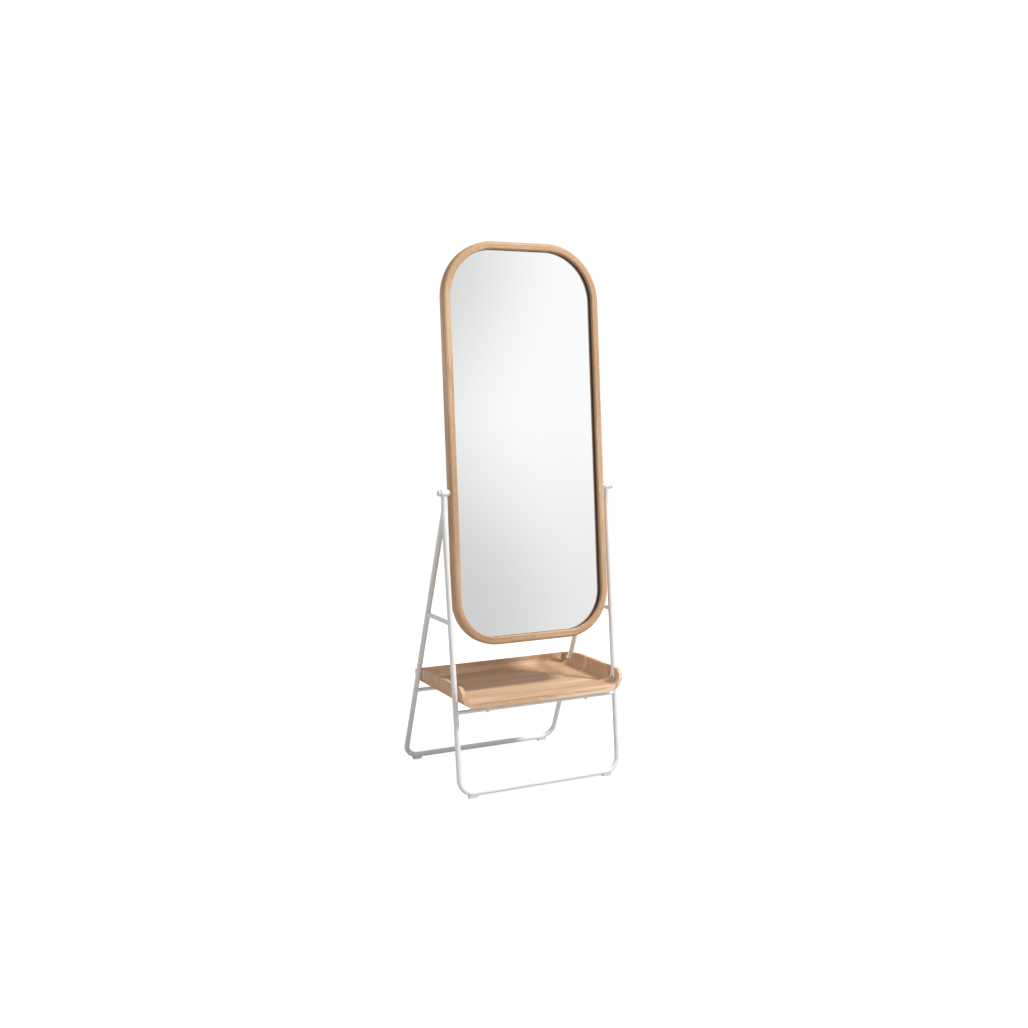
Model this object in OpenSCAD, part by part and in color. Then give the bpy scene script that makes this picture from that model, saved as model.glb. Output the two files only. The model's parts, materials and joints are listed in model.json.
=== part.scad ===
// Cheval floor mirror: an oak-framed mirror that tilts between two steel tube loops,
// with an open-fronted oak tray resting on rails between the legs.
// Origin: on the floor, at the middle of the whole object's outline in plan.
// X runs across the mirror, -Y is the front, Z is up.
// Each module works from the tilt axis in Y; centred() then moves it to the origin.

/* [Mirror frame] */
// Width of the oak frame over its outer edges
frame_w = 512; // [420:1:620]
// Height of the oak frame over its outer edges
frame_h = 1176; // [960:1:1420]
// Depth of the frame section, front to back
frame_d = 32; // [28:0.5:42]
// Width of the frame's front face
face_w = 23; // [21:0.5:34]
// Outer corner radius at the top of the frame
top_corner_r = 168; // [90:1:200]
// Outer corner radius at the foot of the frame
foot_corner_r = 138; // [90:1:200]
// Rounding of the frame's outer front edge
nose_r = 10; // [3:0.5:12]
// Rounding of the frame's outer back edge
back_edge_r = 5; // [2:0.5:7]
// Rounding of the frame's inner front edge
lip_edge_r = 4; // [0.5:0.5:5]
// Distance from the frame's front face to the glass
glass_recess = 15.5; // [10:0.5:16]
// Thickness of the glass
glass_t = 4; // [3:0.5:6]
// Width of the rebate that holds the glass, each side
glass_rebate = 6; // [4:0.5:7]
// Thickness of the foam sheet behind the glass
foam_t = 2.5; // [1:0.5:4]
// Thickness of the back panel
panel_t = 6; // [4:0.5:7]
// Width of the ledge that the back panel is screwed to
panel_ledge = 9; // [7:0.5:12]
// Clearance all round the glass and the back panel
sheet_clear = 0.8; // [0.3:0.1:1.5]

/* [Tilt] */
// Height of the tilt axis above the floor
pivot_z = 881; // [780:1:1000]
// Height of the tilt axis above the foot of the frame
pivot_from_foot = 450.5; // [330:0.5:560]
// Backward tilt of the mirror as it stands
tilt = 4.65; // [0:0.05:12]
// Outer diameter of the barrel on top of each leg
barrel_d = 22; // [20:0.5:26]
// Length of each barrel along the tilt axis
barrel_len = 19; // [16:0.5:24]
// Diameter of the knob's stud
stud_d = 8; // [6:0.5:10]
// Length of the stud inside the frame
stud_reach = 10; // [7:0.5:12]
// Running clearance on the radius around the stud
stud_clear = 0.06; // [0.02:0.01:0.1]
// Diameter of the hand knob
knob_d = 18; // [16:0.5:30]
// Thickness of the hand knob
knob_t = 9; // [7:0.5:14]
// Number of grip grooves round the knob
knob_grooves = 12; // [8:1:20]
// Outer diameter of the threaded insert in the stile
insert_d = 12; // [11:0.5:14]
// Length of the threaded insert
insert_len = 13; // [12:0.5:14]
// Thickness of the nylon washer against the stile
nylon_t = 2; // [1:0.5:3]
// Diameter of the nylon washer and of the spacer beside it
washer_d = 20; // [16:0.5:24]

/* [Stand] */
// Outer diameter of the leg tube
tube_d = 16; // [14:0.5:22]
// Wall thickness of the leg tube
tube_wall = 1.5; // [1:0.1:2.5]
// Gap between the frame's side and the leg tube
leg_gap = 8; // [6:0.5:14]
// How much closer each leg stands to the middle at the floor
leg_taper = 7; // [0:0.5:20]
// Depth of the tilt axis below which the front and rear legs meet
apex_drop = 53; // [40:1:90]
// Distance of the front floor bar ahead of the tilt axis
front_foot = 91; // [70:1:160]
// Distance of the rear floor bar behind the tilt axis
rear_foot = 332; // [260:1:400]
// Centreline radius of the floor bends
bend_r = 44; // [36:1:80]
// Diameter of the crossbar between a front and a rear leg
crossbar_d = 13; // [10:0.5:14]
// Diameter of the rails that carry the tray
rail_d = 12; // [10:0.5:14]
// Height of the crossbars
crossbar_z = 506; // [430:1:620]
// Thickness of the glide under the tube
glide_t = 5; // [4:0.5:8]
// Length of a glide along the floor bar
glide_len = 28; // [20:1:40]
// Width of a glide
glide_w = 13; // [10:0.5:15]
// Distance of a glide's middle from the leg's centreline
glide_inset = 40; // [38:1:90]
// Diameter of the peg that holds a glide in the tube
glide_peg_d = 5; // [4:0.5:7]

/* [Tray] */
// Distance of the tray's sides outside the legs' centrelines
tray_outset = 0; // [-4:0.5:6]
// Distance of the tray's front edge ahead of the front legs' centrelines
tray_ahead = 50; // [36:1:70]
// Distance of the tray's back behind the rear legs' centrelines
tray_behind = 32; // [26:1:60]
// Height of the tray's floor surface
tray_floor_z = 282.5; // [240:0.5:330]
// Thickness of the tray's floor
floor_t = 16; // [9:0.5:18]
// Thickness of the tray's walls
wall_t = 11.5; // [8:0.5:14]
// Height of the side walls above the floor surface
side_wall_h = 48; // [40:0.5:70]
// Height of the back wall above the floor surface
back_wall_h = 30.5; // [20:0.5:36]
// Inside radius between floor and walls
cove_r = 30; // [15:1:34]
// Outside radius of the rear corners in plan
rear_corner_r = 20; // [14:1:40]
// Rounding of each side wall's front top corner
front_nose_r = 28; // [12:1:34]
// Length over which the side wall falls to the back wall
rim_fall_len = 147; // [80:1:170]
// Room in a leg slot ahead of the tube
slot_ahead = 15; // [4:0.5:18]
// Room in a leg slot behind the tube
slot_behind = 7; // [3:0.5:12]
// Room in a leg slot between the tube and the tray's floor
slot_inside = 5; // [4:0.5:14]
// Thickness of the nylon spacers between tray and rails
spacer_t = 11; // [6:0.5:16]
// Diameter of the nylon spacers
spacer_d = 15; // [12:0.5:16]
// Distance of the tray's screws from the middle
tray_screw_x = 165; // [90:1:190]
// Diameter of a tray screw's shank
tray_screw_d = 5; // [4:0.5:6]
// Depth to which a tray screw enters the floor
tray_screw_bite = 10; // [6:0.5:12]

/* [Fixings] */
// Diameter of a panel screw's shank
panel_screw_d = 3; // [2.5:0.5:4]
// Depth to which a panel screw enters the frame
panel_screw_bite = 9; // [6:0.5:11]
// Largest spacing of the panel screws
panel_screw_gap = 240; // [120:5:320]
// Diameter of the dowels in the frame's joints
dowel_d = 6; // [5:0.5:7]
// Length of a dowel
dowel_len = 30; // [20:1:36]

/* [Hidden] */
$fn = 64;

LEFT = -1;
RIGHT = 1;
WHITE = [0.93, 0.93, 0.92];
OAK = [0.80, 0.62, 0.44];
STEEL = [0.70, 0.71, 0.72];

// Stand geometry
tube_r = tube_d / 2;
bore_r = tube_r - tube_wall;
leg_top_x = frame_w / 2 + leg_gap + tube_r;
leg_foot_x = leg_top_x - leg_taper;
bar_z = glide_t + tube_r;
apex_z = pivot_z - apex_drop;
weld_back = tube_r / 2;
bead_t = 0.1;
bead_len = 4;
screw_clear = 0.5;
leg_rise = apex_z - bar_z;
glide_x = leg_foot_x - glide_inset;

function plane_len(foot) = sqrt(pow(leg_rise, 2) + pow(foot, 2));
function lean(foot) = atan2(foot, leg_rise);
function leg_x(z) = leg_foot_x + leg_taper * (z - bar_z) / leg_rise;
function leg_y(foot, z) = foot * (apex_z - z) / leg_rise;

// Rails and tray
tray_bottom = tray_floor_z - floor_t;
rail_z = tray_bottom - spacer_t - rail_d / 2;
tray_half = leg_x(tray_floor_z) + tray_outset;
tray_front = tray_ahead - leg_y(-front_foot, tray_floor_z);
tray_back = tray_behind + leg_y(rear_foot, tray_floor_z);
outline_front = max(tray_front, front_foot + tube_r + bead_t);
outline_back = max(tray_back, rear_foot + tube_r + bead_t);
slot_inner_x = leg_x(tray_floor_z) - tube_r - slot_inside;
tray_under_r = cove_r + floor_t;
tray_flat_back = tray_back - tray_under_r;
trim = 0.05;
tray_screw_head_d = 1.9 * tray_screw_d;
tray_screw_head_t = 2.6;
hex_d = 4.2;
hex_depth = 1.6;

// Height of the tray's underside, which rounds up to the back wall
function under_z(y) = tray_bottom + (y <= tray_flat_back ? 0
    : tray_under_r - sqrt(pow(tray_under_r, 2) - pow(y - tray_flat_back, 2)));

// Frame section, measured from the outer edge inwards and from the front face back
foam_d = glass_recess + glass_t;
panel_front = foam_d + foam_t;
insert_to_panel = 0.5;
pivot_depth = panel_front - insert_d / 2 - insert_to_panel;
rebate_outer = face_w - glass_rebate;
panel_outer = rebate_outer - panel_ledge;
dowel_depth = glass_recess / 2 + 0.5;
dowel_in = face_w / 2;
panel_head_d = 6;
panel_head_t = 1.8;
washer_clear = 0.05;

// The spacer fills what the nylon washer leaves between barrel and stile
barrel_in = leg_top_x - barrel_len / 2;
barrel_out = leg_top_x + barrel_len / 2;
spacer_in = frame_w / 2 + nylon_t;
knob_base_t = 2.5;

// ---------- Helpers ----------

// A cylinder from one point to another
module rod(from, to, r) {
    v = to - from;
    len = norm(v);
    translate(from)
        rotate([0, acos(v.z / len), atan2(v.y, v.x)])
            cylinder(h = len, r = r);
}

// A cylinder along X between two positions
module x_rod(x1, x2, r) {
    translate([min(x1, x2), 0, 0])
        rotate([0, 90, 0])
            cylinder(h = abs(x2 - x1), r = r);
}

// Moves a finished node from the tilt axis to the middle of the outline in plan
module centred() {
    translate([0, (outline_front - outline_back) / 2, 0]) children();
}

// Places its children on the tilt axis
module at_axis() {
    translate([0, 0, pivot_z]) children();
}

// Places a shape drawn as (across, height above the foot, depth) in the tilted frame
module tilted() {
    at_axis()
        rotate([-tilt, 0, 0])
            translate([0, -pivot_depth, -pivot_from_foot])
                children();
}

// ---------- Stand ----------

// The section of a tube; a bore of zero gives a solid rod
module tube_section(r, bore) {
    difference() {
        circle(r = r);
        if (bore > 0) circle(r = bore);
    }
}

// A tube from one point to another
module tube(from, to, r, bore) {
    v = to - from;
    len = norm(v);
    translate(from)
        rotate([0, acos(v.z / len), atan2(v.y, v.x)])
            linear_extrude(len) tube_section(r, bore);
}

// The fine bead where a bend is butt-welded to the straight tube, inside and out
module weld_bead() {
    translate([0, 0, -bead_len / 2])
        linear_extrude(bead_len) tube_section(tube_r + bead_t, bore_r - bead_t);
}

// A loop of two legs and a floor bar, standing upright with its bar on the X axis
module upright_loop(len, extra, r, bore) {
    slant = atan2(leg_taper, len);
    turn = 90 - slant;
    reach = bend_r * tan(turn / 2);
    bar = leg_foot_x - reach;
    tube([-bar, 0, 0], [bar, 0, 0], r, bore);
    for (side = [LEFT, RIGHT])
        mirror([side == LEFT ? 1 : 0, 0, 0]) {
            translate([bar, 0, bend_r])
                rotate([90, 0, 0])
                    rotate([0, 0, -90])
                        rotate_extrude(angle = turn)
                            translate([bend_r, 0]) tube_section(r, bore);
            tube([bar + bend_r * cos(slant), 0, bend_r - bend_r * sin(slant)],
                [leg_top_x + extra * tan(slant), 0, len + extra], r, bore);
            if (bore > 0) {
                translate([bar, 0, 0]) rotate([0, 90, 0]) weld_bead();
                translate([bar + bend_r * cos(slant), 0, bend_r - bend_r * sin(slant)])
                    rotate([0, slant, 0]) weld_bead();
            }
        }
}

// The loop leaning to its foot: a positive foot is behind the axis
module leaning_loop(foot, extra, r, bore) {
    translate([0, foot, bar_z])
        rotate([lean(foot), 0, 0])
            upright_loop(plane_len(foot), extra, r, bore);
}

// One straight leg, for cutting what is welded to it
module leg_cutter(side, foot) {
    rod([side * leg_foot_x, foot, bar_z], [side * leg_top_x, 0, apex_z], tube_r);
}

// A block on one side of the plane that halves the angle between a front leg and its upright top
module mitre_block(side, above) {
    leg = [side * leg_taper, front_foot, leg_rise];
    normal = leg / norm(leg) + [0, 0, 1];
    size = 3 * tube_d;
    translate([side * leg_top_x, 0, apex_z])
        rotate([0, acos(normal.z / norm(normal)), atan2(normal.y, normal.x)])
            translate([-size / 2, -size / 2, above ? 0 : -size])
                cube(size);
}

// Peg holes for the two glides under a floor bar
module glide_holes(foot) {
    for (side = [LEFT, RIGHT])
        translate([side * glide_x, foot, 0])
            cylinder(h = bar_z, d = glide_peg_d);
}

module front_loop() color(WHITE)
    difference() {
        leaning_loop(-front_foot, tube_r, tube_r, bore_r);
        for (side = [LEFT, RIGHT]) mitre_block(side, true);
        glide_holes(-front_foot);
    }

// The upright stub on top of a front leg, mitred to it and notched for the barrel
module upright(side) color(WHITE)
    difference() {
        tube([side * leg_top_x, 0, apex_z - tube_r], [side * leg_top_x, 0, pivot_z],
            tube_r, bore_r);
        mitre_block(side, false);
        at_axis() x_rod(-barrel_out - 1, barrel_out + 1, barrel_d / 2);
    }

module rear_loop() color(WHITE)
    difference() {
        leaning_loop(rear_foot, -weld_back, tube_r, bore_r);
        for (side = [LEFT, RIGHT]) {
            leg_cutter(side, -front_foot);
            tube([side * leg_top_x, 0, apex_z], [side * leg_top_x, 0, pivot_z], tube_r, 0);
        }
        glide_holes(rear_foot);
    }

// A side crossbar, mitred to its front and rear legs
module crossbar(side) color(WHITE)
    difference() {
        rod([side * leg_x(crossbar_z), leg_y(-front_foot, crossbar_z), crossbar_z],
            [side * leg_x(crossbar_z), leg_y(rear_foot, crossbar_z), crossbar_z],
            crossbar_d / 2);
        rod([side * leg_x(crossbar_z), leg_y(-front_foot, crossbar_z), crossbar_z],
            [side * leg_x(crossbar_z), leg_y(rear_foot, crossbar_z), crossbar_z],
            crossbar_d / 2 - tube_wall);
        leg_cutter(side, -front_foot);
        leg_cutter(side, rear_foot);
    }

// A tray rail, mitred between the two legs of one loop
module rail(foot) color(WHITE)
    difference() {
        translate([0, leg_y(foot, rail_z), rail_z])
            difference() {
                x_rod(-leg_x(rail_z), leg_x(rail_z), rail_d / 2);
                x_rod(-leg_x(rail_z), leg_x(rail_z), rail_d / 2 - tube_wall);
            }
        for (side = [LEFT, RIGHT]) {
            leg_cutter(side, foot);
            translate([side * tray_screw_x, leg_y(foot, rail_z), rail_z - rail_d])
                cylinder(h = 2 * rail_d, d = tray_screw_d + screw_clear);
        }
    }

// The barrel that the stud turns in, welded across the top of a leg
module barrel(side) color(WHITE)
    at_axis()
        difference() {
            x_rod(side * barrel_in, side * barrel_out, barrel_d / 2);
            x_rod(side * (barrel_in - 1), side * (barrel_out + 1), stud_d / 2 + stud_clear);
        }

// A clip-on glide: a saddle under the floor bar with a peg into the tube
module glide(side, foot) color([0.86, 0.87, 0.86])
    difference() {
        translate([side * glide_x, foot, 0]) {
            translate([-glide_len / 2, -glide_w / 2, 0])
                cube([glide_len, glide_w, glide_t + tube_r * 0.45]);
            cylinder(h = glide_t + tube_wall + 2, d = glide_peg_d - 0.1);
        }
        difference() {
            leaning_loop(foot, 0, tube_r + bead_t, 0);
            translate([side * glide_x, foot, 0])
                cylinder(h = bar_z, d = glide_peg_d - 0.1);
        }
    }

// ---------- Tray ----------

// End view of the tray: floor rounding up into both side walls
module tray_end_profile(half, bottom, r, top) {
    translate([-half + r, bottom]) square([2 * (half - r), top - bottom]);
    translate([-half, bottom + r]) square([2 * half, top - bottom - r]);
    for (side = [LEFT, RIGHT])
        translate([side * (half - r), bottom + r]) circle(r = r);
}

// Side view of the tray: level rim with a rounded nose, falling to the back wall
module tray_side_profile(front, back, bottom, r, nose) {
    side_top = tray_floor_z + side_wall_h;
    fall = side_wall_h - back_wall_h;
    fall_r = (pow(rim_fall_len, 2) + pow(fall, 2)) / (2 * fall);
    fall_y = tray_back - rim_fall_len;
    translate([front, bottom]) square([fall_y - front, side_top - bottom - nose]);
    translate([front + nose, bottom]) square([fall_y - front - nose, side_top - bottom]);
    translate([front + nose, side_top - nose]) circle(r = nose);
    intersection() {
        translate([fall_y, side_top - fall_r]) circle(r = fall_r, $fn = 200);
        union() {
            translate([fall_y, bottom]) square([back - fall_y - r, fall_r]);
            translate([fall_y, bottom + r]) square([back - fall_y, fall_r]);
            translate([back - r, bottom + r]) circle(r = r);
        }
    }
}

// Plan of the tray: square at the front, rounded at the back
module tray_plan(half, front, back, r) {
    translate([-half, front]) square([2 * half, back - front - r]);
    translate([-half + r, front]) square([2 * (half - r), back - front]);
    for (side = [LEFT, RIGHT])
        translate([side * (half - r), back - r]) circle(r = r);
}

module tray_block() {
    top = tray_floor_z + side_wall_h;
    intersection() {
        translate([0, tray_back, 0])
            rotate([90, 0, 0])
                linear_extrude(tray_back + tray_front)
                    tray_end_profile(tray_half, tray_bottom, tray_under_r, top);
        translate([-tray_half - trim, 0, 0])
            rotate([90, 0, 90])
                linear_extrude(2 * (tray_half + trim))
                    tray_side_profile(-tray_front, tray_back + trim, tray_bottom, tray_under_r,
                        front_nose_r);
        translate([0, 0, tray_bottom])
            linear_extrude(top - tray_bottom)
                tray_plan(tray_half, -tray_front, tray_back, rear_corner_r);
    }
}

module tray_hollow() {
    top = tray_floor_z + side_wall_h + 10;
    in_half = tray_half - wall_t;
    in_back = tray_back - wall_t;
    intersection() {
        translate([0, in_back, 0])
            rotate([90, 0, 0])
                linear_extrude(in_back + tray_front + 10)
                    tray_end_profile(in_half, tray_floor_z, cove_r, top);
        translate([-tray_half, 0, 0])
            rotate([90, 0, 90])
                linear_extrude(2 * tray_half)
                    tray_hollow_side(-tray_front - 10, in_back, top);
        translate([0, 0, tray_floor_z])
            linear_extrude(top - tray_floor_z)
                tray_plan(in_half, -tray_front - 10, in_back, rear_corner_r - wall_t);
    }
}

// Side view of the hollow: level floor with a cove up the back wall
module tray_hollow_side(front, back, top) {
    translate([front, tray_floor_z]) square([back - front - cove_r, top - tray_floor_z]);
    translate([front, tray_floor_z + cove_r])
        square([back - front, top - tray_floor_z - cove_r]);
    translate([back - cove_r, tray_floor_z + cove_r]) circle(r = cove_r);
}

// The slot that one leg passes through, cut parallel to the leg and open at the rim
module leg_slot(side, foot) {
    height = side_wall_h + floor_t + 40;
    base_z = tray_bottom - 20;
    translate([0, leg_y(foot, base_z), base_z])
        rotate([lean(foot), 0, 0])
            translate([side == LEFT ? -tray_half - 20 : slot_inner_x,
                       -tube_r - slot_ahead, -20])
                cube([tray_half + 20 - slot_inner_x, tube_d + slot_ahead + slot_behind,
                      height + 40]);
}

// Height at which the screw of each rail enters the tray
function screw_entry(foot) = under_z(leg_y(foot, rail_z));

// Places its children on both screws of one rail
module tray_screw_pair(foot) {
    for (side = [LEFT, RIGHT])
        translate([side * tray_screw_x, leg_y(foot, rail_z), 0]) children();
}

module tray() color(OAK)
    difference() {
        tray_block();
        tray_hollow();
        for (foot = [-front_foot, rear_foot]) {
            for (side = [LEFT, RIGHT]) leg_slot(side, foot);
            tray_screw_pair(foot)
                translate([0, 0, tray_bottom - 1])
                    cylinder(h = screw_entry(foot) - tray_bottom + tray_screw_bite + 1,
                        d = tray_screw_d);
        }
    }

// A nylon spacer at each screw, hollowed to sit on the round rail and shaped to the tray
module tray_spacers() color([0.93, 0.93, 0.91])
    difference() {
        for (foot = [-front_foot, rear_foot])
            tray_screw_pair(foot)
                translate([0, 0, rail_z])
                    cylinder(h = tray_floor_z - rail_z, d = spacer_d);
        tray_block();
        for (foot = [-front_foot, rear_foot]) {
            tray_screw_pair(foot)
                translate([0, 0, rail_z - 1])
                    cylinder(h = tray_floor_z, d = tray_screw_d + screw_clear);
            translate([0, leg_y(foot, rail_z), rail_z])
                x_rod(-leg_x(rail_z), leg_x(rail_z), rail_d / 2);
            translate([-tray_half, leg_y(foot, rail_z) - spacer_d, rail_z - 1])
                cube([2 * tray_half, 2 * spacer_d, 1 + rail_d / 4]);
        }
    }

module tray_screws() color(WHITE)
    for (foot = [-front_foot, rear_foot])
        tray_screw_pair(foot)
            difference() {
                seat = rail_z - rail_d / 2;
                union() {
                    translate([0, 0, seat])
                        cylinder(h = screw_entry(foot) + tray_screw_bite - seat,
                            d = tray_screw_d);
                    translate([0, 0, seat - tray_screw_head_t])
                        cylinder(h = tray_screw_head_t, d = tray_screw_head_d);
                }
                translate([0, 0, seat - tray_screw_head_t - 1])
                    cylinder(h = 1 + hex_depth, d = hex_d, $fn = 6);
            }

// ---------- Tilt fittings ----------

module knob(side) color(WHITE)
    at_axis()
        mirror([side == LEFT ? 1 : 0, 0, 0])
            difference() {
                translate([barrel_out, 0, 0])
                    rotate([0, 90, 0])
                        union() {
                            cylinder(h = knob_base_t, d = knob_d - 4);
                            translate([0, 0, knob_base_t])
                                cylinder(h = knob_t - knob_base_t - 1.5, d = knob_d);
                            translate([0, 0, knob_t - 1.5])
                                cylinder(h = 1.5, d1 = knob_d, d2 = knob_d - 3);
                        }
                x_rod(barrel_out - 1, barrel_out + knob_t - 3, stud_d / 2);
                for (k = [0 : knob_grooves - 1])
                    rotate([k * 360 / knob_grooves, 0, 0])
                        translate([0, 0, knob_d / 2 + 0.5])
                            x_rod(barrel_out + knob_base_t, barrel_out + knob_t + 1, 1.2);
            }

module stud(side) color(STEEL)
    at_axis()
        x_rod(side * (frame_w / 2 - stud_reach), side * (barrel_out + knob_t - 3), stud_d / 2);

module ring(side, x1, x2, d, bore) {
    at_axis()
        difference() {
            x_rod(side * x1, side * x2, d / 2);
            x_rod(side * (x1 - 1), side * (x2 + 1), bore / 2);
        }
}

module nylon_washer(side) color([0.95, 0.95, 0.93])
    ring(side, frame_w / 2 + washer_clear, spacer_in, washer_d, stud_d + screw_clear);

module spacer(side) color(WHITE)
    ring(side, spacer_in, barrel_in, washer_d - 2, stud_d + screw_clear);

module insert(side) color([0.78, 0.63, 0.32])
    ring(side, frame_w / 2 - insert_len, frame_w / 2, insert_d, stud_d + 2 * stud_clear);

// ---------- Mirror frame ----------

// A quarter disc that fills the corner at the origin, leaving it rounded
module edge_round(r) {
    intersection() {
        translate([r, r]) circle(r = r);
        square(r);
    }
}

// Section of the oak frame: x from the outer edge inwards, y from the front face back
module frame_section() {
    difference() {
        square([face_w, frame_d]);
        square(nose_r);
        translate([0, frame_d - back_edge_r]) square(back_edge_r);
        translate([face_w - lip_edge_r, 0]) square(lip_edge_r);
        translate([rebate_outer, glass_recess]) square([face_w, frame_d]);
        translate([panel_outer, panel_front]) square([face_w, frame_d]);
    }
    edge_round(nose_r);
    translate([0, frame_d]) mirror([0, 1]) edge_round(back_edge_r);
    translate([face_w, 0]) mirror([1, 0]) edge_round(lip_edge_r);
}

// A straight member of a given length, outer edge on the line x = 0, running up Z
module straight_member(len) {
    linear_extrude(len) frame_section();
}

// A quarter corner about the origin, from +X round to +Z
module corner_member(r) {
    rotate([90, 0, 0])
        mirror([0, 0, 1])
            rotate_extrude(angle = 90)
                translate([r, 0]) mirror([1, 0]) frame_section();
}

// Centre of a corner's arc: side is left or right, top is true at the top
function corner_r(top) = top ? top_corner_r : foot_corner_r;
function corner_x(side, top) = side * (frame_w / 2 - corner_r(top));
function corner_z(top) = top ? frame_h - top_corner_r : foot_corner_r;

module dowel_at(side, top, on_stile, r, len) {
    cr = corner_r(top) - dowel_in;
    translate([corner_x(side, top), dowel_depth, corner_z(top)])
        if (on_stile)
            translate([side * cr, 0, -len / 2]) cylinder(h = len, r = r);
        else
            translate([-len / 2, 0, (top ? 1 : -1) * cr])
                rotate([0, 90, 0]) cylinder(h = len, r = r);
}

module dowels(r, len) {
    for (side = [LEFT, RIGHT], top = [false, true], on_stile = [false, true])
        dowel_at(side, top, on_stile, r, len);
}

// Panel screws: evenly spaced along each stile and along the top and foot
screw_in = rebate_outer - panel_ledge / 2 - sheet_clear / 2;
screw_from_end = 20;
cross_screw_x = 60;
stile_run = frame_h - top_corner_r - foot_corner_r;
stile_screws = ceil(stile_run / panel_screw_gap) + 1;
screw_step = (stile_run - 2 * screw_from_end) / (stile_screws - 1);

module panel_screw_spots() {
    y = panel_front;
    for (side = [LEFT, RIGHT], k = [0 : stile_screws - 1])
        translate([side * (frame_w / 2 - screw_in), y,
                   foot_corner_r + screw_from_end + screw_step * k])
            rotate([90, 0, 0]) children();
    for (top = [false, true], side = [LEFT, RIGHT])
        translate([side * cross_screw_x, y, top ? frame_h - screw_in : screw_in])
            rotate([90, 0, 0]) children();
}

module frame_holes() {
    dowels(dowel_d / 2, dowel_len);
    panel_screw_spots() cylinder(h = panel_screw_bite, d = panel_screw_d);
    translate([0, pivot_depth, pivot_from_foot])
        for (side = [LEFT, RIGHT])
            x_rod(side * (frame_w / 2 + 1), side * (frame_w / 2 - insert_len), insert_d / 2);
}

module stile(side) color(OAK)
    tilted()
        difference() {
            translate([side * frame_w / 2, 0, foot_corner_r])
                mirror([side == RIGHT ? 1 : 0, 0, 0])
                    straight_member(stile_run);
            frame_holes();
        }

module cross_member(top) color(OAK)
    tilted()
        difference() {
            len = frame_w - 2 * corner_r(top);
            translate([-len / 2, 0, top ? frame_h : 0])
                rotate([0, 90, 0])
                    mirror([top ? 0 : 1, 0, 0])
                        straight_member(len);
            frame_holes();
        }

module corner(side, top) color(OAK)
    tilted()
        difference() {
            translate([corner_x(side, top), 0, corner_z(top)])
                mirror([side == LEFT ? 1 : 0, 0, 0])
                    mirror([0, 0, top ? 0 : 1])
                        corner_member(corner_r(top));
            frame_holes();
        }

module joint_dowels() color([0.86, 0.76, 0.58])
    tilted() dowels(dowel_d / 2, dowel_len);

// A rounded sheet standing in the frame, a given inset from the outer edge
module sheet(inset, front, thick) {
    rt = top_corner_r - inset;
    rf = foot_corner_r - inset;
    half = frame_w / 2 - inset;
    translate([0, front + thick, 0])
        rotate([90, 0, 0])
            linear_extrude(thick) {
                translate([-half, foot_corner_r]) square([2 * half, stile_run]);
                translate([-half + rt, frame_h - top_corner_r - 1])
                    square([2 * (half - rt), rt + 1]);
                translate([-half + rf, inset]) square([2 * (half - rf), rf + 1]);
                for (side = [LEFT, RIGHT]) {
                    translate([side * (half - rt), frame_h - top_corner_r]) circle(r = rt);
                    translate([side * (half - rf), foot_corner_r]) circle(r = rf);
                }
            }
}

module mirror_glass() color([0.86, 0.89, 0.90])
    tilted() sheet(rebate_outer + sheet_clear, glass_recess, glass_t);

module foam_sheet() color([0.25, 0.25, 0.26])
    tilted() sheet(rebate_outer + sheet_clear + 2, foam_d, foam_t);

module back_panel() color([0.70, 0.55, 0.40])
    tilted()
        difference() {
            sheet(panel_outer + sheet_clear, panel_front, panel_t);
            panel_screw_spots()
                translate([0, 0, -panel_t - 1])
                    cylinder(h = panel_t + 2, d = panel_screw_d + 0.4);
        }

module panel_screws() color(STEEL)
    tilted()
        panel_screw_spots() {
            translate([0, 0, -panel_t])
                cylinder(h = panel_t + panel_screw_bite, d = panel_screw_d);
            translate([0, 0, -panel_t - panel_head_t])
                cylinder(h = panel_head_t, d = panel_head_d);
        }

// ---------- Build ----------

centred() front_loop();
centred() rear_loop();
centred() upright(LEFT);  // left_upright
centred() upright(RIGHT);  // right_upright
centred() crossbar(LEFT);  // left_crossbar
centred() crossbar(RIGHT);  // right_crossbar
centred() rail(-front_foot);  // front_rail
centred() rail(rear_foot);  // rear_rail
centred() barrel(LEFT);  // left_barrel
centred() barrel(RIGHT);  // right_barrel
centred() glide(LEFT, -front_foot);  // front_left_glide
centred() glide(RIGHT, -front_foot);  // front_right_glide
centred() glide(LEFT, rear_foot);  // rear_left_glide
centred() glide(RIGHT, rear_foot);  // rear_right_glide
centred() tray();
centred() tray_spacers();
centred() tray_screws();
centred() knob(LEFT);  // left_knob
centred() knob(RIGHT);  // right_knob
centred() stud(LEFT);  // left_stud
centred() stud(RIGHT);  // right_stud
centred() nylon_washer(LEFT);  // left_nylon_washer
centred() nylon_washer(RIGHT);  // right_nylon_washer
centred() spacer(LEFT);  // left_spacer
centred() spacer(RIGHT);  // right_spacer
centred() insert(LEFT);  // left_insert
centred() insert(RIGHT);  // right_insert
centred() stile(LEFT);  // left_stile
centred() stile(RIGHT);  // right_stile
centred() cross_member(true);  // top_member
centred() cross_member(false);  // foot_member
centred() corner(LEFT, true);  // top_left_corner
centred() corner(RIGHT, true);  // top_right_corner
centred() corner(LEFT, false);  // foot_left_corner
centred() corner(RIGHT, false);  // foot_right_corner
centred() joint_dowels();
centred() mirror_glass();
centred() foam_sheet();
centred() back_panel();
centred() panel_screws();
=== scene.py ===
"""Looks of the cheval floor mirror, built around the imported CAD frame. Lengths are in metres."""

import json
import math

import bmesh
import bpy
from mathutils import Matrix, Vector


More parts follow.
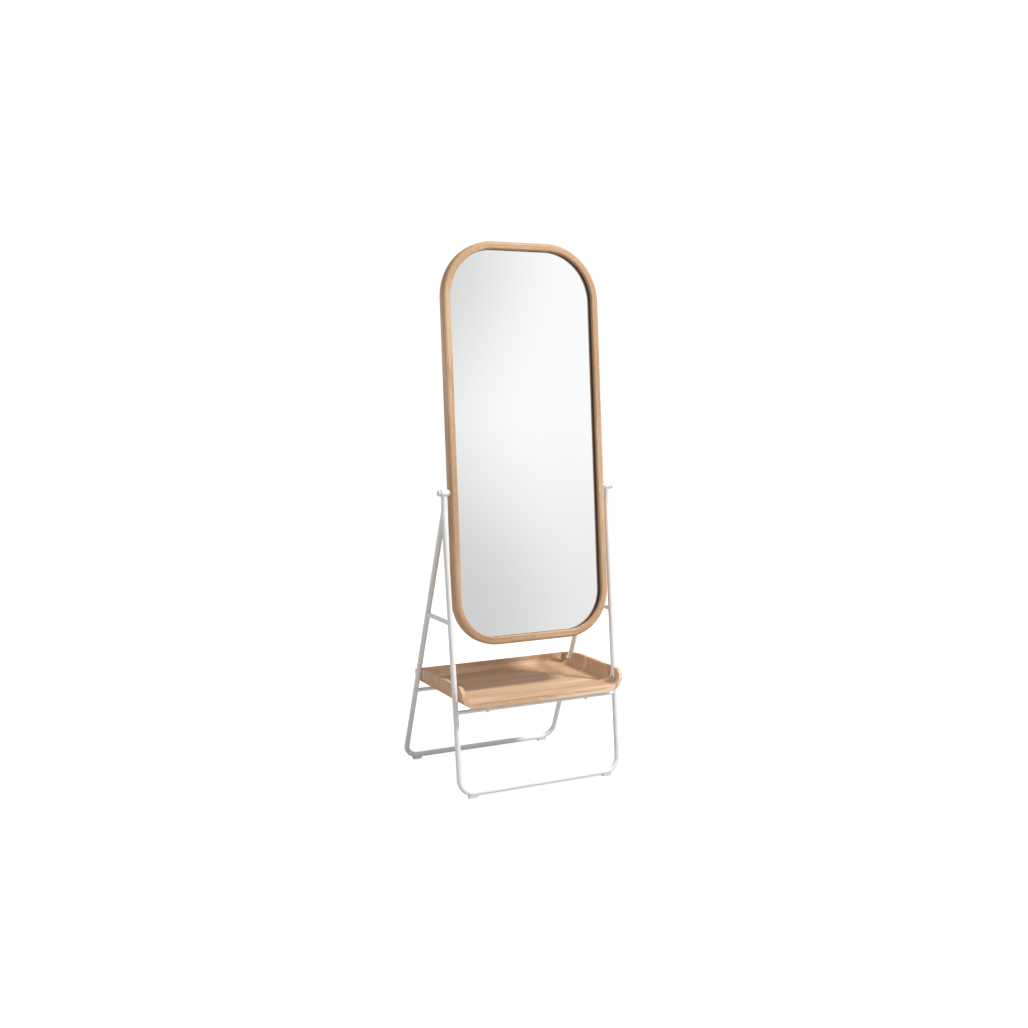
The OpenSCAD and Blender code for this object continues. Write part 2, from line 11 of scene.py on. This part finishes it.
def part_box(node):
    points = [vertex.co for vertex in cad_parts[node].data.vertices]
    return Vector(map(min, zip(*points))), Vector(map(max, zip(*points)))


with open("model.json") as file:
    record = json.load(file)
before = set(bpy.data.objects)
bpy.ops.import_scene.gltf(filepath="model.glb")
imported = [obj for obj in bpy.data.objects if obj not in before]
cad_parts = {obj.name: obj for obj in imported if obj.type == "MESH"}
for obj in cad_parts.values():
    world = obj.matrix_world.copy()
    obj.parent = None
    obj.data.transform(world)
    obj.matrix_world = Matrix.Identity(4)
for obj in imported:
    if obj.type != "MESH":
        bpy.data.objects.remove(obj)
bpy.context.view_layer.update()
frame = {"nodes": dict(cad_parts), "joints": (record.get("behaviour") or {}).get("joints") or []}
nodes = frame["nodes"]

tilt_joint = next(j for j in frame["joints"] if j["name"] == "mirror_tilt")
PIVOT = Vector(tilt_joint["pos_m"])
REST_TILT = math.radians(4.65)
# The frame's front face, ahead of the tilt axis
FRONT_Y = -0.0155
TRAY_FLOOR_T = 0.016
# Linear colours of lacquered oak, before a piece's own tone
OAK_LIGHT = (0.720, 0.500, 0.325)
OAK_DARK = (0.440, 0.250, 0.132)
OAK_PALE = (0.840, 0.640, 0.465)
OAK_PORE = (0.300, 0.170, 0.090)
# Painted shade: the near-black brown laid over the frame's inner edge, for the shadow in the recess
# down to the glass
OAK_RECESS_SHADE = (0.022, 0.010, 0.004)
FRAME_TONE = (0.96, 0.91, 0.86)
TRAY_TONE = (1.14, 1.13, 1.15)
PANEL_TONE = (0.86, 0.84, 0.82)
DOWEL_TONE = (1.08, 1.12, 1.15)
MEMBERS = ("left_stile", "right_stile", "top_member", "foot_member",
           "top_left_corner", "top_right_corner", "foot_left_corner", "foot_right_corner")
STEEL_TUBES = ("front_loop", "rear_loop", "left_upright", "right_upright", "left_crossbar",
               "right_crossbar", "front_rail", "rear_rail", "left_barrel", "right_barrel",
               "left_spacer", "right_spacer")


# ---------- Shader helpers ----------

class Tree:
    """A material's node tree, with short calls for the nodes that the materials share."""

    def __init__(self, name):
        self.mat = bpy.data.materials.new(name)
        self.mat.use_nodes = True
        self.nodes = self.mat.node_tree.nodes
        self.links = self.mat.node_tree.links
        self.bsdf = self.nodes["Principled BSDF"]

    def feed(self, socket, value):
        if isinstance(value, bpy.types.NodeSocket):
            self.links.new(value, socket)
        elif value is not None:
            socket.default_value = value

    def math(self, kind, a, b=None, c=None):
        n = self.nodes.new("ShaderNodeMath")
        n.operation = kind
        for k, v in enumerate((a, b, c)):
            self.feed(n.inputs[k], v)
        return n.outputs[0]

    def vec(self, kind, a, b=None):
        n = self.nodes.new("ShaderNodeVectorMath")
        n.operation = kind
        self.feed(n.inputs[0], a)
        self.feed(n.inputs[1], b)
        return n.outputs[0]

    def place(self):
        return self.nodes.new("ShaderNodeTexCoord").outputs["Object"]

    def split(self, vector):
        n = self.nodes.new("ShaderNodeSeparateXYZ")
        self.feed(n.inputs[0], vector)
        return n.outputs

    def join(self, x, y, z):
        n = self.nodes.new("ShaderNodeCombineXYZ")
        for socket, v in zip(n.inputs, (x, y, z)):
            self.feed(socket, v)
        return n.outputs[0]

    def noise(self, vector, scale, detail=3.0, rough=0.5, distort=0.0):
        n = self.nodes.new("ShaderNodeTexNoise")
        self.feed(n.inputs["Vector"], vector)
        n.inputs["Scale"].default_value = scale
        n.inputs["Detail"].default_value = detail
        n.inputs["Roughness"].default_value = rough
        n.inputs["Distortion"].default_value = distort
        return n.outputs["Fac"]

    def step(self, value, low, high):
        n = self.nodes.new("ShaderNodeMapRange")
        n.interpolation_type = "SMOOTHSTEP"
        self.feed(n.inputs["Value"], value)
        n.inputs["From Min"].default_value = low
        n.inputs["From Max"].default_value = high
        return n.outputs["Result"]

    def span(self, value, low, high):
        n = self.nodes.new("ShaderNodeMapRange")
        self.feed(n.inputs["Value"], value)
        n.inputs["To Min"].default_value = low
        n.inputs["To Max"].default_value = high
        return n.outputs["Result"]

    def mix(self, fac, a, b):
        n = self.nodes.new("ShaderNodeMix")
        n.data_type = "RGBA"
        self.feed(n.inputs[0], fac)
        self.feed(n.inputs[6], a if isinstance(a, bpy.types.NodeSocket) else (*a, 1.0))
        self.feed(n.inputs[7], b if isinstance(b, bpy.types.NodeSocket) else (*b, 1.0))
        return n.outputs[2]

    def mix_vec(self, fac, a, b):
        n = self.nodes.new("ShaderNodeMix")
        n.data_type = "VECTOR"
        self.feed(n.inputs[0], fac)
        self.feed(n.inputs[4], a)
        self.feed(n.inputs[5], b)
        return n.outputs[1]

    def bump(self, height, strength, distance):
        n = self.nodes.new("ShaderNodeBump")
        self.feed(n.inputs["Height"], height)
        n.inputs["Strength"].default_value = strength
        n.inputs["Distance"].default_value = distance
        self.feed(self.bsdf.inputs["Normal"], n.outputs[0])

    def set(self, **values):
        for key, value in values.items():
            self.feed(self.bsdf.inputs[key.replace("_", " ")], value)


def give(material, *names):
    """Assigns a material to CAD nodes by name."""
    for name in names:
        slots = nodes[name].data.materials
        slots.clear()
        slots.append(material)


# ---------- Oak ----------

def toned(colour, tone):
    return tuple(c * t for c, t in zip(colour, tone))


def along_grain(tree, grain, stretch, *settings):
    """Noise drawn out along the fibres: stretch is its features per metre on each axis of the grain."""
    return tree.noise(tree.vec("MULTIPLY", grain, stretch), *settings)


def oak(tree, grain, tone, shade=None):
    """Lacquered oak. The grain's x runs along the fibres, and tone multiplies the colours.
    Where shade is given, it paints shade over the wood, darkening it from 0, not at all, to 1."""
    warp = along_grain(tree, grain, (3.0, 14.0, 14.0), 1.0, 2.0)
    rings = along_grain(tree, grain, (1.0, 9.0, 9.0), 9.0, 3.0, 0.55, 0.6)
    warp = tree.math("MULTIPLY", warp, 1.5)
    bands = tree.math("FRACT", tree.math("MULTIPLY_ADD", rings, 6.0, warp))
    bands = tree.math("SMOOTH_MIN", bands, tree.math("SUBTRACT", 1.25, bands), 0.3)
    fibres = along_grain(tree, grain, (7.0, 420.0, 420.0), 1.0, 4.0, 0.6)
    pores = tree.step(along_grain(tree, grain, (55.0, 1300.0, 1300.0), 1.0, 1.0), 0.62, 0.74)
    pores = tree.math("MULTIPLY", pores, tree.step(bands, 0.15, 0.55))
    flecks = tree.step(along_grain(tree, grain, (60.0, 130.0, 500.0), 1.0, 1.0), 0.66, 0.76)
    patch = tree.step(along_grain(tree, grain, (1.2, 11.0, 11.0), 1.0, 2.0), 0.50, 0.72)
    streaks = along_grain(tree, grain, (3.5, 95.0, 95.0), 1.0, 3.0, 0.55, 0.3)
    streaks = tree.step(streaks, 0.50, 0.66)

    dark = toned(OAK_DARK, tone)
    pale = toned(OAK_PALE, tone)
    colour = tree.mix(tree.math("MULTIPLY", bands, 0.70), toned(OAK_LIGHT, tone), dark)
    colour = tree.mix(tree.span(fibres, 0.0, 0.55), colour, dark)
    colour = tree.mix(patch, colour, pale)
    colour = tree.mix(tree.math("MULTIPLY", streaks, 0.62), colour, dark)
    colour = tree.mix(tree.math("MULTIPLY", flecks, 0.35), colour, pale)
    colour = tree.mix(tree.math("MULTIPLY", pores, 0.55), colour, toned(OAK_PORE, tone))
    if shade is not None:
        colour = tree.mix(shade, colour, OAK_RECESS_SHADE)
    tree.set(Base_Color=colour, Roughness=tree.span(fibres, 0.46, 0.62),
             Specular_IOR_Level=0.3, Coat_Weight=0.06, Coat_Roughness=0.32)
    height = tree.math("SUBTRACT", tree.math("MULTIPLY", fibres, 0.4), pores)
    tree.bump(height, 0.35, 0.00025)


def in_frame_plane(tree):
    """The place in the mirror frame's own axes, from the tilt axis: x across, y through, z up."""
    n = tree.nodes.new("ShaderNodeVectorRotate")
    n.rotation_type = "X_AXIS"
    tree.feed(n.inputs["Vector"], tree.vec("SUBTRACT", tree.place(), tuple(PIVOT)))
    n.inputs["Angle"].default_value = REST_TILT
    return n.outputs[0]


def corner_centre(name):
    """A corner member's arc centre in the frame's own axes, and its outer radius."""
    turn = Matrix.Rotation(REST_TILT, 4, "X")
    places = [turn @ (v.co - PIVOT) for v in nodes[name].data.vertices]
    xs = [p.x for p in places]
    zs = [p.z for p in places]
    radius = max(xs) - min(xs)
    cx = min(xs) + radius if "left" in name else max(xs) - radius
    cz = max(zs) - radius if "top" in name else min(zs) + radius
    return cx, cz, radius


def frame_oak(name, centre):
    """Oak for one frame member. The grain follows the frame's outline and runs on across the joints."""
    tree = Tree("oak_" + name)
    x, y, z = tree.split(in_frame_plane(tree))
    cx, cz, radius = centre
    up = 1.0 if cz > 0.0 else -1.0
    side = tree.math("ABSOLUTE", x)
    if "corner" in name:
        dx = tree.math("SUBTRACT", side, abs(cx))
        dz = tree.math("MULTIPLY", tree.math("SUBTRACT", z, cz), up)
        out = tree.math("SQRT", tree.math("ADD", tree.math("MULTIPLY", dx, dx),
                                          tree.math("MULTIPLY", dz, dz)))
        inset = tree.math("SUBTRACT", radius, out)
        along = tree.math("MULTIPLY_ADD", tree.math("ARCTAN2", dz, dx), up * radius, cz)
    elif "stile" in name:
        inset = tree.math("SUBTRACT", abs(cx) + radius, side)
        along = z
    else:
        inset = tree.math("SUBTRACT", abs(cz) + radius, tree.math("MULTIPLY", z, up))
        middle = cz + up * (radius * math.pi / 2.0 + abs(cx))
        along = tree.math("MULTIPLY_ADD", side, -up, middle)
    # The left and right halves take their grain from different places in the wood
    across = tree.math("MULTIPLY_ADD", tree.math("SIGN", x), 1.7, inset)
    # Painted shade: dark where the frame's inner edge goes down to the glass, standing in for the
    # shadow in that recess
    depth = tree.step(tree.math("SUBTRACT", y, FRONT_Y), 0.0050, 0.0135)
    recess_shade = tree.math("MULTIPLY", depth, tree.step(inset, 0.0150, 0.0215))
    oak(tree, tree.join(along, across, y), FRAME_TONE, tree.math("MULTIPLY", recess_shade, 0.97))
    return tree.mat


def paint_frame():
    corner_at = {"left_stile": "top_left_corner", "right_stile": "top_right_corner",
                 "top_member": "top_left_corner", "foot_member": "foot_left_corner"}
    for name in MEMBERS:
        give(frame_oak(name, corner_centre(corner_at.get(name, name))), name)


def paint_tray():
    """Moulded veneered shell: the grain crosses the floor and runs up the side walls."""
    low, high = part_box("tray")
    tree = Tree("oak_tray")
    x, y, z = tree.split(tree.place())
    rise = tree.math("SUBTRACT", z, low.z + TRAY_FLOOR_T)
    side = tree.step(tree.math("ABSOLUTE", x), high.x - 0.040, high.x - 0.020)
    back = tree.step(y, high.y - 0.045, high.y - 0.020)
    out = tree.math("MULTIPLY", tree.math("SIGN", x), rise)
    floor_grain = tree.join(x, y, z)
    side_grain = tree.join(tree.math("ADD", x, out), y, tree.math("ABSOLUTE", x))
    back_grain = tree.join(x, tree.math("ADD", rise, high.y), y)
    grain = tree.mix_vec(back, floor_grain, back_grain)
    grain = tree.mix_vec(side, grain, side_grain)
    oak(tree, grain, TRAY_TONE)
    give(tree.mat, "tray")


# ---------- Other materials ----------

def powder_coat():
    """White powder coat with a fine orange peel."""
    tree = Tree("powder_white")
    place = tree.place()
    peel = tree.noise(place, 900.0, 2.0)
    cloud = tree.noise(place, 14.0, 3.0)
    colour = tree.mix(cloud, (0.87, 0.868, 0.86), (0.92, 0.918, 0.91))
    tree.set(Base_Color=colour, Roughness=tree.span(cloud, 0.34, 0.44), Specular_IOR_Level=0.5)
    tree.bump(peel, 0.12, 0.0002)
    return tree.mat


def moulded(name, low, high, rough, scale=700.0):
    """Moulded plastic or foam: a fine spark-eroded texture over a slightly uneven colour."""
    tree = Tree(name)
    place = tree.place()
    grit = tree.noise(place, scale, 3.0)
    cloud = tree.noise(place, 30.0, 2.0)
    tree.set(Base_Color=tree.mix(cloud, low, high),
             Roughness=tree.span(cloud, rough - 0.06, rough + 0.06))
    tree.bump(grit, 0.18, 0.0002)
    return tree.mat


def metal(name, low, high, rough, stretch):
    """Turned or plated metal, with fine tool marks along one axis."""
    tree = Tree(name)
    marks = tree.noise(tree.vec("MULTIPLY", tree.place(), stretch), 1.0, 3.0)
    tree.set(Base_Color=tree.mix(marks, low, high), Metallic=1.0,
             Roughness=tree.span(marks, rough - 0.07, rough + 0.07))
    tree.bump(marks, 0.1, 0.0001)
    return tree.mat


def silvered():
    """Mirror glass: silver behind clear glass, with a faint haze of dust."""
    tree = Tree("mirror_glass")
    haze = tree.noise(tree.place(), 22.0, 4.0)
    tree.set(Base_Color=tree.mix(haze, (0.945, 0.952, 0.950), (0.955, 0.960, 0.958)),
             Metallic=1.0, Roughness=tree.span(haze, 0.004, 0.012))
    return tree.mat


def bare_board():
    """The back panel: flat-cut veneer with the grain up the mirror."""
    tree = Tree("panel_board")
    x, y, z = tree.split(in_frame_plane(tree))
    oak(tree, tree.join(z, tree.math("ADD", x, 3.1), y), PANEL_TONE)
    return tree.mat


def paint_all():
    paint_frame()
    paint_tray()
    give(powder_coat(), *STEEL_TUBES, "tray_screws")
    give(silvered(), "mirror_glass")
    give(bare_board(), "back_panel")
    give(moulded("glide_plastic", (0.74, 0.75, 0.74), (0.80, 0.81, 0.80), 0.45),
         "front_left_glide", "front_right_glide", "rear_left_glide", "rear_right_glide")
    give(moulded("knob_plastic", (0.84, 0.84, 0.83), (0.89, 0.89, 0.88), 0.40),
         "left_knob", "right_knob")
    give(moulded("nylon", (0.82, 0.82, 0.79), (0.87, 0.87, 0.84), 0.50),
         "left_nylon_washer", "right_nylon_washer", "tray_spacers")
    give(moulded("foam", (0.030, 0.030, 0.032), (0.050, 0.050, 0.052), 0.85, 300.0), "foam_sheet")
    give(metal("screw_steel", (0.60, 0.61, 0.63), (0.72, 0.72, 0.73), 0.32, (900.0, 900.0, 60.0)),
         "panel_screws", "left_stud", "right_stud")
    give(metal("insert_brass", (0.62, 0.44, 0.19), (0.74, 0.54, 0.25), 0.30, (60.0, 900.0, 900.0)),
         "left_insert", "right_insert")
    dowel = Tree("beech_dowel")
    x, y, z = dowel.split(in_frame_plane(dowel))
    oak(dowel, dowel.join(z, x, y), DOWEL_TONE)
    give(dowel.mat, "joint_dowels")


# ---------- Stage, light and camera ----------

def stage_floor():
    """A wide pale floor. It gives off more light to the camera than to the object, so it looks
    white without lighting the object from below."""
    bm = bmesh.new()
    bmesh.ops.create_grid(bm, x_segments=8, y_segments=8, size=30.0)
    mesh = bpy.data.meshes.new("floor")
    bm.to_mesh(mesh)
    bm.free()
    floor = bpy.data.objects.new("floor", mesh)
    floor.location.z = -0.0003
    bpy.context.scene.collection.objects.link(floor)
    tree = Tree("studio_floor")
    cloud = tree.noise(tree.place(), 0.8, 2.0)
    seen = tree.nodes.new("ShaderNodeLightPath").outputs["Is Camera Ray"]
    tree.set(Base_Color=tree.mix(cloud, (0.44, 0.44, 0.44), (0.46, 0.46, 0.46)), Roughness=0.9,
             Specular_IOR_Level=0.1, Emission_Color=(1.0, 1.0, 1.0, 1.0),
             Emission_Strength=tree.span(seen, 0.10, 0.82))
    mesh.materials.append(tree.mat)


def stage_wall():
    """The studio wall behind the camera, which the mirror shows. It is graded to give the glass
    its greys: darker at the foot and at the upper left."""
    mesh = bpy.data.meshes.new("studio_wall")
    left, right, far, top = 0.6, 7.5, -6.2, 5.0
    mesh.from_pydata([(left, far, -0.01), (right, far, -0.01), (right, far, top), (left, far, top)],
                     [], [(3, 2, 1, 0)])
    wall = bpy.data.objects.new("studio_wall", mesh)
    bpy.context.scene.collection.objects.link(wall)
    tree = Tree("studio_wall_paint")
    x, y, z = tree.split(tree.place())
    low = tree.math("SUBTRACT", 1.0, tree.step(z, 0.2, 2.0))
    high = tree.step(z, 1.7, 3.2)
    shifted = tree.math("MULTIPLY_ADD", high, -0.50, tree.math("MULTIPLY_ADD", low, -0.55, x))
    across = tree.step(shifted, 1.9, 3.2)
    glow = tree.math("MULTIPLY_ADD", across, 0.21, 0.79)
    glow = tree.math("MULTIPLY_ADD", low, -0.14, glow)
    corner = tree.math("MULTIPLY", high, tree.math("SUBTRACT", 1.0, across))
    glow = tree.math("MULTIPLY_ADD", corner, -0.08, glow)
    tree.set(Base_Color=(0.0, 0.0, 0.0, 1.0), Roughness=1.0, Specular_IOR_Level=0.0,
             Emission_Color=(1.0, 1.0, 1.0, 1.0), Emission_Strength=glow)
    mesh.materials.append(tree.mat)


def area_light(name, place, aim, size, power, colour=(1.0, 1.0, 1.0)):
    data = bpy.data.lights.new(name, "AREA")
    data.shape = "DISK"
    data.size = size
    data.energy = power
    data.color = colour
    light = bpy.data.objects.new(name, data)
    light.location = place
    light.rotation_euler = (Vector(aim) - Vector(place)).to_track_quat("-Z", "Y").to_euler()
    bpy.context.scene.collection.objects.link(light)


def studio():
    """An even surround, brighter to the camera than as a light, with a key and a weak rim light."""
    world = bpy.data.worlds.new("studio")
    bpy.context.scene.world = world
    world.use_nodes = True
    tree = world.node_tree
    background = tree.nodes["Background"]
    rays = tree.nodes.new("ShaderNodeLightPath")
    strength = tree.nodes.new("ShaderNodeMapRange")
    tree.links.new(rays.outputs["Is Camera Ray"], strength.inputs["Value"])
    strength.inputs["To Min"].default_value = 0.42
    strength.inputs["To Max"].default_value = 1.05
    tree.links.new(strength.outputs["Result"], background.inputs["Strength"])
    background.inputs["Color"].default_value = (1.0, 1.0, 1.0, 1.0)
    area_light("key", (2.45, -2.9, 5.4), (0.0, 0.0, 0.6), 0.9, 330.0, (1.0, 0.985, 0.965))
    area_light("rim", (-3.2, 2.2, 1.9), (0.0, 0.0, 0.6), 1.6, 20.0, (1.0, 1.0, 1.0))
    bpy.context.scene.view_settings.view_transform = "Standard"


def camera():
    data = bpy.data.cameras.new("camera")
    data.sensor_width = 36.0
    data.lens = 43.96
    cam = bpy.data.objects.new("camera", data)
    cam.location = (-1.7147, -3.2893 + PIVOT.y, 1.2160)
    cam.rotation_euler = (math.radians(90.0 - 6.29), 0.0, math.radians(-26.90))
    bpy.context.scene.collection.objects.link(cam)
    bpy.context.scene.camera = cam


paint_all()
stage_floor()
stage_wall()
studio()
camera()
